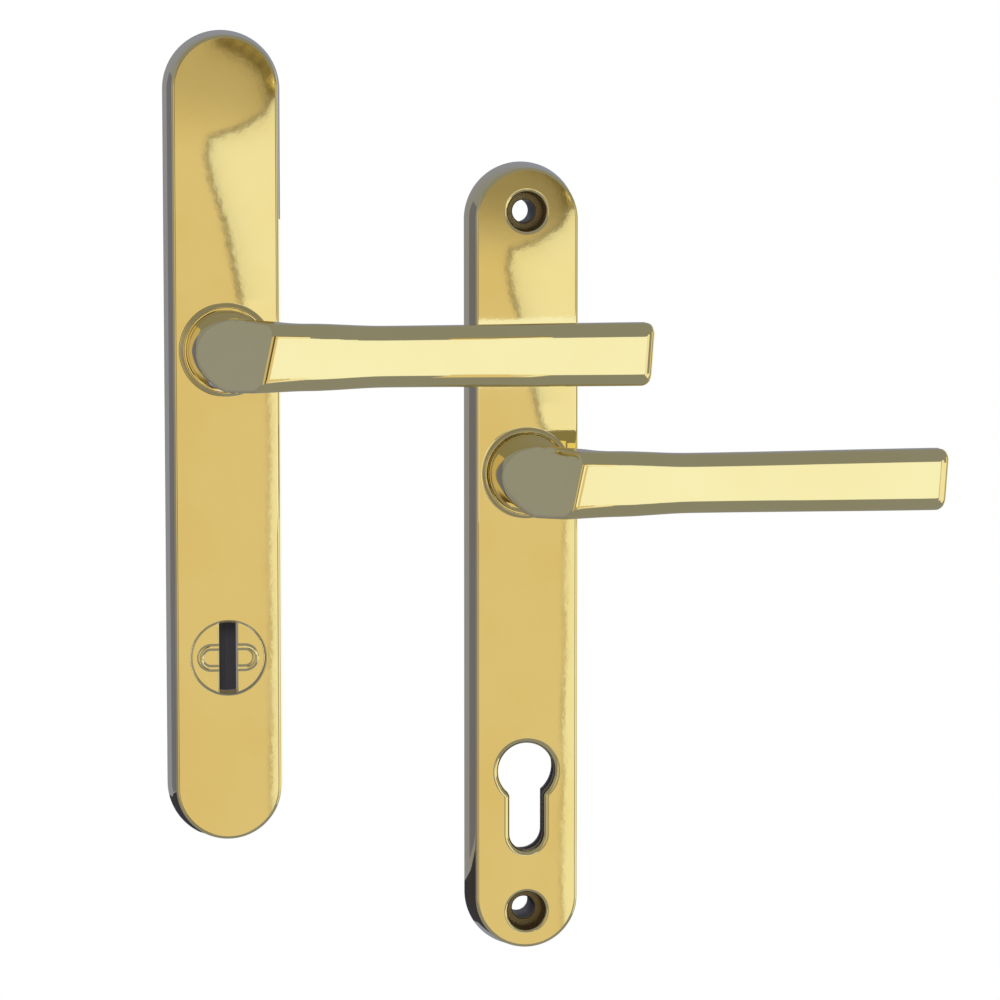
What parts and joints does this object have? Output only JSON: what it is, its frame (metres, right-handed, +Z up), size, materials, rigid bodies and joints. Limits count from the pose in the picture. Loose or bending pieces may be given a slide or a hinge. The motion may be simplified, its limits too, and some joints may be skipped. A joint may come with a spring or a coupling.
{
  "type": "pair of security door handles for a euro cylinder lock",
  "caption": "Two long-plate door handles for a euro cylinder lock: sprung levers, a spinning cylinder guard outside, an open cylinder cut-out and screw holes inside.",
  "frame": {"origin": "where the outside half's spindle axis crosses its back, the face of the door", "axes": "+X from the spindle along the lever, +Z up the backplate, -Y out of the door towards the viewer; the inside half stands to the right, lower and a step behind, facing the same way"},
  "size_m": [0.2309, 0.082, 0.2823],
  "materials": {
    "polished_brass": "polished and lacquered, slightly wavy from hand buffing",
    "dark_nylon": "moulded glass-filled nylon, satin",
    "white_nylon": "self-lubricating nylon",
    "zinc_steel": "bright zinc plated",
    "spring_steel": "oil tempered wire and strip",
    "hardened_steel": "case hardened, ground",
    "seal_rubber": "matt black rubber",
    "foam": "closed cell foam"
  },
  "bodies": {
    "plates": {"outside_cover": "polished_brass", "outside_base": "dark_nylon", "outside_gasket": "foam", "outside_base_screws": "zinc_steel", "outside_fixing_pillars": "zinc_steel", "outside_lever_bush": "white_nylon", "outside_return_spring": "spring_steel", "guard_wave_washer": "spring_steel", "guard_housing": "hardened_steel", "guard_drill_pins": "hardened_steel", "inside_cover": "polished_brass", "inside_base": "dark_nylon", "inside_gasket": "foam", "inside_base_screws": "zinc_steel", "inside_lever_bush": "white_nylon", "inside_return_spring": "spring_steel"},
    "outside_lever_set": {"outside_lever": "polished_brass", "outside_drive_cam": "zinc_steel", "outside_thrust_washer": "zinc_steel", "outside_circlip": "spring_steel"},
    "inside_lever_set": {"inside_lever": "polished_brass", "inside_drive_cam": "zinc_steel", "inside_thrust_washer": "zinc_steel", "inside_circlip": "spring_steel"},
    "guard_disc": {"guard_rotor": "polished_brass", "guard_key_seal": "seal_rubber"}
  },
  "joints": [
    {"name": "outside_lever_turn", "type": "hinge", "parent": "plates", "child": "outside_lever_set", "pos_m": [0, 0, 0], "axis": [0, 1, 0], "range_deg": [-60, 40], "stiffness_Nm_per_rad": 2, "springref_deg": -3.32, "deforming": ["outside_return_spring"]},
    {"name": "inside_lever_turn", "type": "hinge", "parent": "plates", "child": "inside_lever_set", "pos_m": [0.093, 0.016, -0.0393], "axis": [0, 1, 0], "range_deg": [-60, 40], "stiffness_Nm_per_rad": 2, "springref_deg": -3.32, "deforming": ["inside_return_spring"]},
    {"name": "guard_spin", "type": "hinge", "parent": "plates", "child": "guard_disc", "pos_m": [0, -0.01, -0.092], "axis": [0, 1, 0], "continuous": true}
  ]
}
